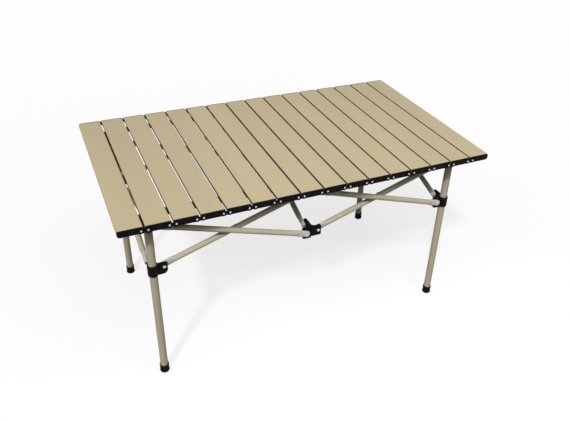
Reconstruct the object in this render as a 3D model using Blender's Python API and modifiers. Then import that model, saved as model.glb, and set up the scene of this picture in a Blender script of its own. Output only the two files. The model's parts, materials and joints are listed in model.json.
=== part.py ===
"""Folding camp table: a roll-up top of metal slats on a scissor frame with four legs.

Metres, +Z up. The origin is on the floor under the middle of the top. +X runs along the long side
and -Y is the front. The frame is seven scissor pairs of equal bars at one shared angle: two along
the front, two along the back and three across. All of them close together.
"""
import math

import bmesh
import bpy
from mathutils import Matrix, Vector

# Whole table
TOP_LENGTH = 0.950
TABLE_HEIGHT = 0.490
MESH_GAP = 0.0003

# Slats, with the black plastic cap in each end
SLAT_COUNT = 16
SLAT_LENGTH = 0.546
SLAT_GAP = 0.0045
SLAT_SHEET = 0.001
SLAT_SKIRT = 0.009
SLAT_EDGE_RADIUS = 0.002
CAP_LENGTH = 0.005
CAP_HEIGHT = 0.016
CAP_CORNER_RADIUS = 0.003

# Link plates that hinge each slat to the next
LINK_PITCH = 0.015
LINK_DEPTH = 0.0085
LINK_LOBE_RADIUS = 0.007
LINK_LOBE_TURN = 100
LINK_WAIST = 0.0055
LINK_THICKNESS = 0.0016
LINK_PIN_RADIUS = 0.0016
LINK_HEAD_RADIUS = 0.0027
LINK_HEAD_HEIGHT = 0.0011
LINK_PIN_CLEARANCE = 0.00025

# Legs and feet. The inset runs from the second slat's outer edge to the leg.
LEG_INSET = 0.0133
LEG_RADIUS = 0.0095
LEG_WALL = 0.001
FOOT_RADIUS = 0.012
FOOT_TOP_RADIUS = 0.0112
FOOT_HEIGHT = 0.024
FOOT_TREAD = 0.007
FOOT_SOLE = 0.004

# Plastic hubs and sliding sleeves. The seat is the hubs' top, which carries the slats.
SEAT_DROP = 0.017
HUB_RISE = 0.025
POST_ARM_REACH = 0.0264
CENTRE_ARM_REACH = 0.0177
SIDE_ARM_REACH = 0.036
ARM_TIP = 0.008
ARM_THICKNESS = 0.006
ARM_CORNER_RADIUS = 0.003
SLEEVE_RADIUS = 0.0125
SLEEVE_CLEARANCE = 0.00035
SLEEVE_ABOVE = 0.012
SLEEVE_BELOW = 0.017
EAR_BELOW = 0.020
EAR_RADIUS = 0.012
SIDE_ARM_RADIUS = 0.008
HUB_BELOW = 0.008
HUB_ROOF = 0.003
ARM_ABOVE = 0.015
CENTRE_RADIUS = 0.0065
CENTRE_ABOVE = 0.015
CENTRE_BELOW = 0.012
CENTRE_ARM_BELOW = 0.015
ARM_INSET = 0.001

# Bars: round tube with both ends pressed part flat. The drop is from a bar's upper to its lower pivot.
BAR_DROP = 0.1165
BAR_RADIUS = 0.007
BAR_WALL = 0.001
BAR_END_HALF_THICKNESS = 0.004
BAR_TIP = 0.008
BAR_TIP_ROUND = 0.0035
BAR_FLAT = 0.019
BAR_FLARE = 0.013
PIVOT_GAP = 0.0004

# Rivets of the frame
RIVET_RADIUS = 0.0025
RIVET_CLEARANCE = 0.00025
RIVET_HEAD_RADIUS = 0.0045
RIVET_HEAD_HEIGHT = 0.0015

# Clips under the second slat from each end, which locate the top on the corner hubs
CLIP_CLEARANCE = 0.001
CLIP_WALL = 0.0035
CLIP_PLATE = 0.0025
CLIP_DROP = 0.004
CLIP_INWARD = 0.014
CLIP_PAD_LENGTH = 0.028

# Sides of round shapes, the angle past which an edge is sharp, and the width of a weld
LEG_SIDES = 16
BAR_SIDES = 8
RIVET_SIDES = 8
SHARP_ANGLE = 35
WELD = 0.00001

# Sizes that follow. The bars across the table are the same as those along it.
SLAT_PITCH = (TOP_LENGTH + SLAT_GAP) / SLAT_COUNT
SLAT_WIDTH = SLAT_PITCH - SLAT_GAP
HINGE_HEIGHT = TABLE_HEIGHT - LINK_DEPTH
SEAT_HEIGHT = TABLE_HEIGHT - SEAT_DROP
UPPER_PIVOT = SEAT_HEIGHT - HUB_RISE
LOWER_PIVOT = UPPER_PIVOT - BAR_DROP
LEG_X = TOP_LENGTH / 2 - SLAT_PITCH - LEG_INSET
BAR_SPAN = LEG_X - POST_ARM_REACH - CENTRE_ARM_REACH
LEG_Y = BAR_SPAN / 2 + SIDE_ARM_REACH
BAR_LENGTH = math.hypot(BAR_SPAN, BAR_DROP)
BAR_END_HALF_WIDTH = BAR_END_HALF_THICKNESS + math.pi / 2 * (BAR_RADIUS - BAR_END_HALF_THICKNESS)
BAR_OFFSET = ARM_THICKNESS / 2 + PIVOT_GAP + BAR_END_HALF_THICKNESS

# Each corner's name, and the signs of its X and Y
CORNERS = (
    ("front_left", -1, -1),
    ("front_right", 1, -1),
    ("back_left", -1, 1),
    ("back_right", 1, 1),
)

PAINT = ("paint", (0.47, 0.38, 0.22), 0.42, 0.35)
PLASTIC = ("plastic", (0.012, 0.012, 0.012), 0.5, 0.0)
RUBBER = ("rubber", (0.01, 0.01, 0.01), 0.75, 0.0)
STEEL = ("steel", (0.62, 0.62, 0.60), 0.3, 1.0)


def clear_scene():
    """Remove every object that is in the scene."""
    for item in list(bpy.data.objects):
        bpy.data.objects.remove(item, do_unlink=True)


def add_collection(name):
    """Return a new collection under the scene."""
    collection = bpy.data.collections.new(name)
    bpy.context.scene.collection.children.link(collection)
    return collection


clear_scene()
TABLE = add_collection("folding_camp_table")
TOOLS = add_collection("cutters")


def material(owner, finish):
    """Return a Principled material for one node."""
    kind, colour, roughness, metallic = finish
    result = bpy.data.materials.new(f"{owner}_{kind}")
    result.use_nodes = True
    shader = result.node_tree.nodes["Principled BSDF"]
    shader.inputs["Base Color"].default_value = (*colour, 1.0)
    shader.inputs["Roughness"].default_value = roughness
    shader.inputs["Metallic"].default_value = metallic
    return result


def add_shape(name, mesh):
    """Put a mesh in the cutters' collection, where shapes wait to be joined or cut."""
    shape = bpy.data.objects.new(name, mesh)
    TOOLS.objects.link(shape)
    shape.hide_render = True
    shape.display_type = 'WIRE'
    return shape


def take_mesh(shape):
    """Return the mesh that the shape's modifiers make, and remove the shape."""
    bpy.context.view_layer.update()
    evaluated = shape.evaluated_get(bpy.context.evaluated_depsgraph_get())
    mesh = bpy.data.meshes.new_from_object(evaluated)
    mesh.transform(shape.matrix_world)
    bpy.data.objects.remove(shape, do_unlink=True)
    return mesh


def combine(body, tool, operation):
    """Join a tool to a body, or cut it away, and return the body as a new shape."""
    step = body.modifiers.new("combine", 'BOOLEAN')
    step.operation = operation
    step.solver = 'EXACT'
    step.object = tool
    name = body.name
    mesh = take_mesh(body)
    bpy.data.objects.remove(tool, do_unlink=True)
    return add_shape(name, mesh)


def joined(body, tool):
    """Return the union of two shapes."""
    return combine(body, tool, 'UNION')


def cut(body, tool):
    """Return a body with a tool cut out of it."""
    return combine(body, tool, 'DIFFERENCE')


def box(name, low, high):
    """Return a box between two corners."""
    size = Vector(high) - Vector(low)
    middle = (Vector(high) + Vector(low)) / 2
    shape = bmesh.new()
    bmesh.ops.create_cube(shape, matrix=Matrix.Translation(middle) @ Matrix.Diagonal((*size, 1)))
    mesh = bpy.data.meshes.new(name)
    shape.to_mesh(mesh)
    shape.free()
    return add_shape(name, mesh)


def rod(name, radius, start, end, sides=RIVET_SIDES):
    """Return a cylinder between two points, with flats square to the main axes."""
    along = Vector(end) - Vector(start)
    turn = along.to_track_quat('Z', 'Y').to_matrix().to_4x4()
    middle = Matrix.Translation((Vector(start) + Vector(end)) / 2)
    shape = bmesh.new()
    bmesh.ops.create_cone(
        shape,
        cap_ends=True,
        segments=sides,
        radius1=radius,
        radius2=radius,
        depth=along.length,
        matrix=middle @ turn @ Matrix.Rotation(math.pi / sides, 4, 'Z'),
    )
    mesh = bpy.data.meshes.new(name)
    shape.to_mesh(mesh)
    shape.free()
    return add_shape(name, mesh)


def plate(name, outlines, thickness):
    """Return a flat plate in the XY plane. Any outline inside the first one is a hole."""
    curve = bpy.data.curves.new(name, 'CURVE')
    curve.dimensions = '2D'
    curve.fill_mode = 'BOTH'
    curve.extrude = thickness / 2
    for outline in outlines:
        spline = curve.splines.new('POLY')
        spline.points.add(len(outline) - 1)
        for point, (x, y) in zip(spline.points, outline):
            point.co = (x, y, 0, 1)
        spline.use_cyclic_u = True
    holder = bpy.data.objects.new(name, curve)
    TOOLS.objects.link(holder)
    mesh = take_mesh(holder)
    welded = bmesh.new()
    welded.from_mesh(mesh)
    bmesh.ops.remove_doubles(welded, verts=welded.verts, dist=WELD)
    bmesh.ops.recalc_face_normals(welded, faces=welded.faces)
    welded.to_mesh(mesh)
    welded.free()
    return add_shape(name, mesh)


def turned(name, profile, closed=False, sides=LEG_SIDES):
    """Return a turned shape. The profile holds (radius, height) and runs down its outer side."""
    last = len(profile) - 1
    edges = [(index, index + 1) for index in range(last)]
    if closed:
        edges.append((last, 0))
    mesh = bpy.data.meshes.new(name)
    mesh.from_pydata([(radius, 0, height) for radius, height in profile], edges, [])
    shape = add_shape(name, mesh)
    screw = shape.modifiers.new("turn", 'SCREW')
    screw.steps = sides
    screw.render_steps = sides
    screw.use_merge_vertices = True
    screw.merge_threshold = WELD
    return add_shape(name, take_mesh(shape))


def arc(centre, radius, first, last, steps):
    """Return points along an arc, with both angles in degrees."""
    angles = [first + (last - first) * step / steps for step in range(steps + 1)]
    return [
        (
            centre[0] + radius * math.cos(math.radians(angle)),
            centre[1] + radius * math.sin(math.radians(angle)),
        )
        for angle in angles
    ]


def hole(centre, radius, clearance):
    """Return a bore's outline that clears a rivet of the given radius on every flat."""
    corner = (radius + clearance) / math.cos(math.pi / RIVET_SIDES)
    ring = arc(centre, corner, 180 / RIVET_SIDES, 360 + 180 / RIVET_SIDES, RIVET_SIDES)
    return ring[:-1]


def turn_upright(shape, heading):
    """Stand a plate on edge, with its X axis along a heading in degrees about Z."""
    upright = Matrix.Rotation(math.radians(heading), 4, 'Z') @ Matrix.Rotation(math.pi / 2, 4, 'X')
    shape.data.transform(upright)
    return shape


def pivot_x(gap):
    """Return where the hinge of a gap stands. Gap 1 lies between the first two slats."""
    return -TOP_LENGTH / 2 + gap * SLAT_PITCH - SLAT_GAP / 2 + LINK_PITCH / 2


def slat_x(number):
    """Return where the middle of a slat stands."""
    return -TOP_LENGTH / 2 + (number - 1) * SLAT_PITCH + SLAT_WIDTH / 2


def rounded_block():
    """Return the slat's outer block: long top edges and cap corners rounded."""
    half = SLAT_WIDTH / 2
    top = LINK_DEPTH
    bottom = LINK_DEPTH - CAP_HEIGHT
    edge = SLAT_EDGE_RADIUS
    corner = CAP_CORNER_RADIUS
    outline = (
        arc((half - edge, top - edge), edge, 0, 90, 2)
        + arc((edge - half, top - edge), edge, 90, 180, 2)
        + arc((corner - half, bottom + corner), corner, 180, 270, 2)
        + arc((half - corner, bottom + corner), corner, 270, 360, 2)
    )
    return turn_upright(plate("slat", [outline], SLAT_LENGTH), 0)


def channel_hollow():
    """Return the space under the sheet, between the skirts and between the end caps."""
    inside = SLAT_WIDTH / 2 - SLAT_SHEET
    outside = SLAT_WIDTH / 2 + SLAT_GAP
    ceiling = LINK_DEPTH - SLAT_SHEET
    skirt_end = LINK_DEPTH - SLAT_SKIRT
    below = LINK_DEPTH - CAP_HEIGHT - SLAT_GAP
    outline = [
        (-inside, ceiling),
        (-inside, skirt_end),
        (-outside, skirt_end),
        (-outside, below),
        (outside, below),
        (outside, skirt_end),
        (inside, skirt_end),
        (inside, ceiling),
    ]
    return turn_upright(plate("hollow", [outline], SLAT_LENGTH - 2 * CAP_LENGTH), 0)


def link_with_rivets():
    """Return a link plate for the +Y end, fixed at its left rivet and pinned at its right."""
    lobe = LINK_LOBE_RADIUS
    reach = LINK_PITCH / 2
    turn = LINK_LOBE_TURN
    outline = (
        arc((reach, 0), lobe, -turn, turn, 6)
        + [(0, LINK_WAIST)]
        + arc((-reach, 0), lobe, 180 - turn, 180 + turn, 6)
        + [(0, -LINK_WAIST)]
    )
    face = SLAT_LENGTH / 2
    inner = face + MESH_GAP
    outer = inner + LINK_THICKNESS
    tip = outer + LINK_HEAD_HEIGHT
    root = face - CAP_LENGTH / 2
    centre = slat_edge_to_gap()
    link = turn_upright(plate("link", [outline], LINK_THICKNESS), 0)
    link.data.transform(Matrix.Translation((centre, (inner + outer) / 2, 0)))
    left = centre - reach
    right = centre + reach
    link = joined(link, rod("fixed_rivet", LINK_HEAD_RADIUS, (left, root, 0), (left, tip, 0)))
    seat = outer - LINK_THICKNESS / 2
    inside_head = outer + LINK_HEAD_HEIGHT / 2
    link = joined(link, rod("pin", LINK_PIN_RADIUS, (right, root, 0), (right, inside_head, 0)))
    return joined(link, rod("head", LINK_HEAD_RADIUS, (right, seat, 0), (right, tip, 0)))


def slat_edge_to_gap():
    """Return the distance from a slat's middle to the middle of the gap on its right."""
    return SLAT_WIDTH / 2 + SLAT_GAP / 2


def colour_slat(mesh):
    """Give the metal, the plastic ends and the rivet heads of a slat their own materials."""
    cap_start = SLAT_LENGTH / 2 - CAP_LENGTH - MESH_GAP
    head_start = SLAT_LENGTH / 2 + MESH_GAP + LINK_THICKNESS + MESH_GAP
    for face in mesh.polygons:
        reach = abs(face.center.y)
        face.material_index = int(reach > cap_start) + int(reach > head_start)


def slat_mesh(has_bore, has_link):
    """Return a slat: a pressed channel, its two end caps, and the links on its right."""
    slat = cut(rounded_block(), channel_hollow())
    if has_bore:
        bore_x = LINK_PITCH / 2 - slat_edge_to_gap()
        radius = (LINK_PIN_RADIUS + LINK_PIN_CLEARANCE) / math.cos(math.pi / RIVET_SIDES)
        reach = SLAT_LENGTH / 2 + CAP_LENGTH
        slat = cut(slat, rod("bore", radius, (bore_x, -reach, 0), (bore_x, reach, 0)))
    if has_link:
        slat = joined(slat, link_with_rivets())
        far_link = link_with_rivets()
        far_link.data.transform(Matrix.Rotation(math.pi, 4, 'X'))
        slat = joined(slat, far_link)
    mesh = take_mesh(slat)
    mesh.materials.clear()
    colour_slat(mesh)
    return mesh


def arm_plate(reach, below, above, heading, low_radius=ARM_CORNER_RADIUS,
              top_radius=ARM_CORNER_RADIUS):
    """Return a hub's arm: an upright plate with a rivet hole, its height set from the pivot."""
    start = CENTRE_RADIUS / 2
    tip = reach + ARM_TIP
    outline = (
        [(start, above), (start, -below)]
        + arc((tip - low_radius, low_radius - below), low_radius, -90, 0, 3)
        + arc((tip - top_radius, above - top_radius), top_radius, 0, 90, 3)
    )
    rivet_hole = hole((reach, 0), RIVET_RADIUS, RIVET_CLEARANCE)
    return turn_upright(plate("arm", [outline, rivet_hole], ARM_THICKNESS), heading)


def with_arms(body, long_heading, side_heading, below, above, low_radius):
    """Return a body with one arm along the table and one across it."""
    long_arm = arm_plate(POST_ARM_REACH, below, above, long_heading, low_radius)
    side_arm = arm_plate(SIDE_ARM_REACH, below, above, side_heading, low_radius, SIDE_ARM_RADIUS)
    return joined(joined(body, long_arm), side_arm)


def slider_mesh(long_heading, side_heading):
    """Return a sleeve that slides on a leg, with two arms at right angles."""
    bore = LEG_RADIUS + SLEEVE_CLEARANCE
    sleeve = turned(
        "slider",
        [(SLEEVE_RADIUS, SLEEVE_ABOVE), (SLEEVE_RADIUS, -SLEEVE_BELOW), (0, -SLEEVE_BELOW),
         (0, SLEEVE_ABOVE)],
        closed=True,
    )
    above = SLEEVE_ABOVE - ARM_INSET
    sleeve = with_arms(sleeve, long_heading, side_heading, EAR_BELOW, above, EAR_RADIUS)
    reach = EAR_BELOW + SLEEVE_ABOVE
    return take_mesh(cut(sleeve, rod("bore", bore, (0, 0, -reach), (0, 0, reach), LEG_SIDES)))


def corner_hub_mesh(long_heading, side_heading):
    """Return the cap on a leg's top, closed above, with two arms at right angles."""
    roof = SEAT_HEIGHT - UPPER_PIVOT
    cap = turned(
        "corner_hub",
        [(0, roof), (SLEEVE_RADIUS, roof), (SLEEVE_RADIUS, -HUB_BELOW), (0, -HUB_BELOW)],
    )
    below = HUB_BELOW - ARM_INSET
    cap = with_arms(cap, long_heading, side_heading, below, ARM_ABOVE, ARM_CORNER_RADIUS)
    bore = LEG_RADIUS + SLEEVE_CLEARANCE
    socket = rod("socket", bore, (0, 0, -2 * HUB_BELOW), (0, 0, roof - HUB_ROOF), LEG_SIDES)
    return take_mesh(cut(cap, socket))


def centre_hub_mesh(above, below, arm_below, ear_radius):
    """Return a hub with two arms along the table and one towards its middle."""
    core = rod("centre_hub", CENTRE_RADIUS, (0, 0, -below), (0, 0, above), LEG_SIDES)
    arm_above = CENTRE_ABOVE - ARM_INSET
    right = arm_plate(CENTRE_ARM_REACH, arm_below, arm_above, 0)
    left = arm_plate(CENTRE_ARM_REACH, arm_below, arm_above, 180, ear_radius)
    side = arm_plate(SIDE_ARM_REACH, arm_below, arm_above, 90, top_radius=SIDE_ARM_RADIUS)
    return take_mesh(joined(joined(joined(core, right), left), side))


def leg_mesh():
    """Return a leg tube, open at both ends, from its foot's sole to its hub's roof."""
    top = SEAT_HEIGHT - HUB_ROOF - MESH_GAP
    bottom = FOOT_SOLE + MESH_GAP
    inside = LEG_RADIUS - LEG_WALL
    profile = [(LEG_RADIUS, top), (LEG_RADIUS, bottom), (inside, bottom), (inside, top)]
    return take_mesh(turned("leg", profile, closed=True))


def foot_mesh():
    """Return a rubber foot: a cup over the end of the leg."""
    bore = LEG_RADIUS + SLEEVE_CLEARANCE
    profile = [
        (0, FOOT_SOLE),
        (bore, FOOT_SOLE),
        (bore, FOOT_HEIGHT),
        (FOOT_TOP_RADIUS, FOOT_HEIGHT),
        (FOOT_RADIUS, FOOT_TREAD),
        (FOOT_RADIUS, 0),
        (0, 0),
    ]
    return take_mesh(turned("foot", profile))


def tube_ring(along, half_width, half_thickness):
    """Return a ring round the X axis, its sides at the true radius, or pressed flat towards Y."""
    straight = half_width - half_thickness
    corner = half_thickness / math.cos(math.pi / BAR_SIDES)
    ring = []
    for index in range(BAR_SIDES):
        angle = math.tau * (index + 0.5) / BAR_SIDES
        rise = math.sin(angle)
        height = corner * rise + math.copysign(straight, rise)
        ring.append((along, corner * math.cos(angle), height))
    return ring


def loft(name, rings):
    """Return a closed shape through rings of equally many points."""
    sides = len(rings[0])
    points = [point for ring in rings for point in ring]
    faces = [tuple(range(sides))[::-1]]
    for level in range(len(rings) - 1):
        low = level * sides
        high = low + sides
        for index in range(sides):
            after = (index + 1) % sides
            faces.append((low + index, low + after, high + after, high + index))
    faces.append(tuple(range(len(points) - sides, len(points))))
    mesh = bpy.data.meshes.new(name)
    mesh.from_pydata(points, [], faces)
    fixed = bmesh.new()
    fixed.from_mesh(mesh)
    bmesh.ops.recalc_face_normals(fixed, faces=fixed.faces)
    fixed.to_mesh(mesh)
    fixed.free()
    return add_shape(name, mesh)


def tube_rings(inset, overrun):
    """Return a bar's rings from end to end, drawn in by a wall and run past its tips."""
    half = BAR_LENGTH / 2
    width = BAR_END_HALF_WIDTH - inset
    thickness = BAR_END_HALF_THICKNESS - inset
    end_width = thickness + (width - thickness) / 2
    first_half = [
        (half + BAR_TIP + overrun, end_width, thickness),
        (half + BAR_TIP - BAR_TIP_ROUND, width, thickness),
        (half - BAR_FLAT, width, thickness),
        (half - BAR_FLAT - BAR_FLARE, BAR_RADIUS - inset, BAR_RADIUS - inset),
    ]
    rings = [tube_ring(-along, wide, thick) for along, wide, thick in first_half]
    return rings + [tube_ring(along, wide, thick) for along, wide, thick in reversed(first_half)]


def rivet(body, along, surface, reach):
    """Return a bar with a rivet through it: a head on its outside, its tail head past reach."""
    tail = reach + RIVET_HEAD_HEIGHT
    bite = surface - BAR_WALL / 2
    brim = surface + RIVET_HEAD_HEIGHT
    near = (along, -surface, 0)
    far = (along, reach + RIVET_HEAD_HEIGHT / 2, 0)
    body = joined(body, rod("shank", RIVET_RADIUS, near, far))
    body = joined(body, rod("head", RIVET_HEAD_RADIUS, (along, -brim, 0), (along, -bite, 0)))
    return joined(body, rod("tail", RIVET_HEAD_RADIUS, (along, reach, 0), (along, tail, 0)))


def bar_mesh(crosses):
    """Return a bar along X with its hub plates on its +Y side.

    A bar that crosses holds the middle rivet, which runs through the other bar's bore.
    """
    bar = cut(loft("bar", tube_rings(0, 0)), loft("inside", tube_rings(BAR_WALL, BAR_WALL)))
    plate_far_side = BAR_OFFSET + ARM_THICKNESS / 2 + PIVOT_GAP
    for along in (-BAR_LENGTH / 2, BAR_LENGTH / 2):
        bar = rivet(bar, along, BAR_END_HALF_THICKNESS, plate_far_side)
    if crosses:
        return take_mesh(rivet(bar, 0, BAR_RADIUS, 2 * BAR_OFFSET + BAR_RADIUS + PIVOT_GAP))
    radius = (RIVET_RADIUS + RIVET_CLEARANCE) / math.cos(math.pi / RIVET_SIDES)
    reach = 2 * BAR_RADIUS
    return take_mesh(cut(bar, rod("bore", radius, (0, -reach, 0), (0, reach, 0))))


def clip_mesh(side_x, side_y):
    """Return a clip for one corner, in its leg's frame.

    Its pad fills the channel, its plate rests on the hub and its walls stop the hub from moving out.
    The clip is open towards the table's middle, where the frame folds away.
    """
    inner = SLEEVE_RADIUS + CLIP_CLEARANCE
    outer = inner + CLIP_WALL
    seat = SEAT_HEIGHT + MESH_GAP
    plate_top = seat + CLIP_PLATE
    bottom = SEAT_HEIGHT - CLIP_DROP
    ceiling = TABLE_HEIGHT - SLAT_SHEET - MESH_GAP
    channel_side = LEG_INSET - SLAT_SHEET - MESH_GAP
    overlap = CLIP_PLATE / 2
    clip = span_box("clip", side_x, side_y, (-CLIP_INWARD, outer), (-CLIP_INWARD, outer),
                    (seat, plate_top))
    wall = span_box("wall", side_x, side_y, (inner, outer), (-CLIP_INWARD, outer),
                    (bottom, seat + overlap))
    side_wall = span_box("wall", side_x, side_y, (-CLIP_INWARD, outer), (inner, outer),
                         (bottom, seat + overlap))
    pad = span_box("pad", side_x, side_y, (-channel_side - CLIP_PAD_LENGTH, -channel_side),
                   (-CLIP_INWARD, CLIP_INWARD), (plate_top - overlap, ceiling))
    return take_mesh(joined(joined(joined(clip, wall), side_wall), pad))


def span_box(name, side_x, side_y, span_x, span_y, span_z):
    """Return a box whose X and Y spans run outwards from a leg in that corner's directions."""
    xs = sorted(side_x * value for value in span_x)
    ys = sorted(side_y * value for value in span_y)
    return box(name, (xs[0], ys[0], span_z[0]), (xs[1], ys[1], span_z[1]))


def joint(name, position):
    """Return an empty on a joint's axis. The pieces that move together hang from it."""
    marker = bpy.data.objects.new(name, None)
    marker.location = position
    marker.empty_display_size = ARM_TIP
    TABLE.objects.link(marker)
    return marker


def place(name, mesh, finishes, marker, position, heading=0, turn=None):
    """Add a node at a world position under its joint's empty."""
    node = bpy.data.objects.new(name, mesh)
    TABLE.objects.link(node)
    node.parent = marker
    node.location = Vector(position) - marker.location
    if turn is None:
        node.rotation_euler = (0, 0, math.radians(heading))
    else:
        node.rotation_euler = turn.to_euler()
    while len(mesh.materials) < len(finishes):
        mesh.materials.append(None)
    for slot, finish in zip(node.material_slots, finishes):
        slot.link = 'OBJECT'
        slot.material = material(name, finish)
    mesh.shade_smooth()
    mesh.set_sharp_from_angle(angle=math.radians(SHARP_ANGLE))
    return node


def add_top():
    """Add the slats, each on its hinge, and the four clips."""
    first = slat_mesh(has_bore=False, has_link=True)
    middle = slat_mesh(has_bore=True, has_link=True)
    last = slat_mesh(has_bore=True, has_link=False)
    finishes = (PAINT, PLASTIC, STEEL)
    carriers = {}
    for number in range(1, SLAT_COUNT + 1):
        mesh = middle
        if number == 1:
            mesh = first
        if number == SLAT_COUNT:
            mesh = last
        hinge = max(number - 1, 1)
        marker = joint(f"hinge_{number:02d}", (pivot_x(hinge), 0, HINGE_HEIGHT))
        position = (slat_x(number), 0, HINGE_HEIGHT)
        place(f"slat_{number:02d}", mesh, finishes, marker, position)
        carriers[number] = marker
    for name, side_x, side_y in CORNERS:
        carrier = carriers[2 if side_x < 0 else SLAT_COUNT - 1]
        position = (side_x * LEG_X, side_y * LEG_Y, 0)
        clip = clip_mesh(side_x, side_y)
        place(f"top_clip_{name}", clip, (PLASTIC,), carrier, position)


def corner_pivot(side_x, side_y, height):
    """Return the pivot by which a corner's hub or slider hangs on the bar before it."""
    if side_y < 0:
        return (side_x * (LEG_X - POST_ARM_REACH), side_y * LEG_Y, height)
    return (side_x * LEG_X, side_y * (LEG_Y - SIDE_ARM_REACH), height)


def add_legs():
    """Add each corner's leg, foot, hub and slider."""
    leg = leg_mesh()
    foot = foot_mesh()
    for name, side_x, side_y in CORNERS:
        heading = 0 if side_x < 0 else 180
        side_heading = -90 * side_y
        stand = (side_x * LEG_X, side_y * LEG_Y, 0)
        marker = joint(f"post_{name}", corner_pivot(side_x, side_y, UPPER_PIVOT))
        place(f"leg_{name}", leg, (PAINT,), marker, stand)
        place(f"foot_{name}", foot, (RUBBER,), marker, stand)
        hub = corner_hub_mesh(heading, side_heading)
        place(f"corner_hub_{name}", hub, (PLASTIC,), marker, (*stand[:2], UPPER_PIVOT))
        marker = joint(f"sleeve_{name}", corner_pivot(side_x, side_y, LOWER_PIVOT))
        slider = slider_mesh(heading, side_heading)
        place(f"slider_{name}", slider, (PLASTIC,), marker, (*stand[:2], LOWER_PIVOT))


def add_centre_hubs():
    """Add the upper and lower hubs in the middle of the front and of the back."""
    lower = centre_hub_mesh(CENTRE_ABOVE, CENTRE_BELOW, CENTRE_ARM_BELOW, EAR_RADIUS)
    arm_below = HUB_BELOW - ARM_INSET
    upper = centre_hub_mesh(SEAT_HEIGHT - UPPER_PIVOT, HUB_BELOW, arm_below, ARM_CORNER_RADIUS)
    for level, height, mesh in (("upper", UPPER_PIVOT, upper), ("lower", LOWER_PIVOT, lower)):
        marker = joint(f"centre_front_{level}", (-CENTRE_ARM_REACH, -LEG_Y, height))
        position = (0, -LEG_Y, height)
        place(f"centre_hub_front_{level}", mesh, (PLASTIC,), marker, position)
        marker = joint(f"centre_back_{level}", (0, LEG_Y - SIDE_ARM_REACH, height))
        position = (0, LEG_Y, height)
        place(f"centre_hub_back_{level}", mesh, (PLASTIC,), marker, position, 180)


def add_bar_pair(name, start, heading, falling, rising):
    """Add two crossed bars. The falling bar leaves the upper pivot nearest the start.

    Start is the upper pivot in the hub plates' plane and heading the pair's direction in degrees.
    The falling bar lies to the right of that direction, with its +Y side towards the plates.
    """
    ahead = Vector((math.cos(math.radians(heading)), math.sin(math.radians(heading)), 0))
    up = Vector((0, 0, 1))
    left = up.cross(ahead)
    upper = Vector(start)
    centre = upper + ahead * BAR_SPAN / 2 - up * BAR_DROP / 2
    for suffix, mesh, slope, side, pivot in (
        ("falling", falling, -BAR_DROP, left, upper),
        ("rising", rising, BAR_DROP, -left, centre),
    ):
        along = (ahead * BAR_SPAN + up * slope).normalized()
        turn = Matrix((along, side, along.cross(side))).transposed()
        marker = joint(f"pivot_{name}_{suffix}", pivot)
        position = centre - side * BAR_OFFSET
        place(f"bar_{name}_{suffix}", mesh, (PAINT,), marker, position, turn=turn)


def add_bars():
    """Add the seven crossed pairs, each from its left or front end."""
    falling = bar_mesh(crosses=True)
    rising = bar_mesh(crosses=False)
    for row, y in (("front", -LEG_Y), ("back", LEG_Y)):
        for half, x in (("left", POST_ARM_REACH - LEG_X), ("right", CENTRE_ARM_REACH)):
            add_bar_pair(f"{row}_{half}", (x, y, UPPER_PIVOT), 0, falling, rising)
    for column, x in (("left_side", -LEG_X), ("middle", 0), ("right_side", LEG_X)):
        start = (x, SIDE_ARM_REACH - LEG_Y, UPPER_PIVOT)
        add_bar_pair(column, start, 90, falling, rising)


add_top()
add_legs()
add_centre_hubs()
add_bars()
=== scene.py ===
"""Looks of the folding camp table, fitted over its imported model.

Metres, +Z up, with the floor at zero and the front towards -Y. Sixteen pressed slats with black end caps
and riveted link plates, with two flat straps under them, lie on a frame of seven scissor pairs. Every shape
is worked out on arrays of points: an outline carried along a line, a section turned round an axis, or rings
along a bar. The hubs and sliders are joined from such shapes.
"""
import json
import math

import bmesh
import bpy
import numpy as np
from mathutils import Matrix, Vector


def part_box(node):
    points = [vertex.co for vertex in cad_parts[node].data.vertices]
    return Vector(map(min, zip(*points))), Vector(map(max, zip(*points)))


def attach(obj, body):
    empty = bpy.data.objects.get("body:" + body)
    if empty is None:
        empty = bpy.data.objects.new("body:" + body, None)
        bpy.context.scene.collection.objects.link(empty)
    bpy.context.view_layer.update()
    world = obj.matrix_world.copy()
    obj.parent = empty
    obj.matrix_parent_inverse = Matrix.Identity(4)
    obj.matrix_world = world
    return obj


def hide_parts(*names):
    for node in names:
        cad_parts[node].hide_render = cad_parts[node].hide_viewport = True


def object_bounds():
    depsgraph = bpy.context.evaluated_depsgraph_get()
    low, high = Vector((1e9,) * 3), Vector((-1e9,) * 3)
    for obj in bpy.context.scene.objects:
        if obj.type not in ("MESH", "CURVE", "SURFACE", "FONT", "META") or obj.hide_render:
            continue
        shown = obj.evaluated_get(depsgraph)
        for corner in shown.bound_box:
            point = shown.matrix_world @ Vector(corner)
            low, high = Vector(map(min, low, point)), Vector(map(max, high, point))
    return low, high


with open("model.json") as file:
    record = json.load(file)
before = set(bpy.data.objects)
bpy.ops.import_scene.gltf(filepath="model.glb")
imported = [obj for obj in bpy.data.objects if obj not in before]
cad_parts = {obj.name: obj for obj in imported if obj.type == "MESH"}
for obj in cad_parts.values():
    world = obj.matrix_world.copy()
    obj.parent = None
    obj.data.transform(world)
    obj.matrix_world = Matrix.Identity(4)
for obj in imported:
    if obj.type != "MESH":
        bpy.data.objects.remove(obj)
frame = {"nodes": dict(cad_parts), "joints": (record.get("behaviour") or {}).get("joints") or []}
CAD_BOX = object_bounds()
PIVOT = {joint["name"]: np.array(joint["pos_m"]) for joint in frame["joints"] if "pos_m" in joint}

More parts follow.
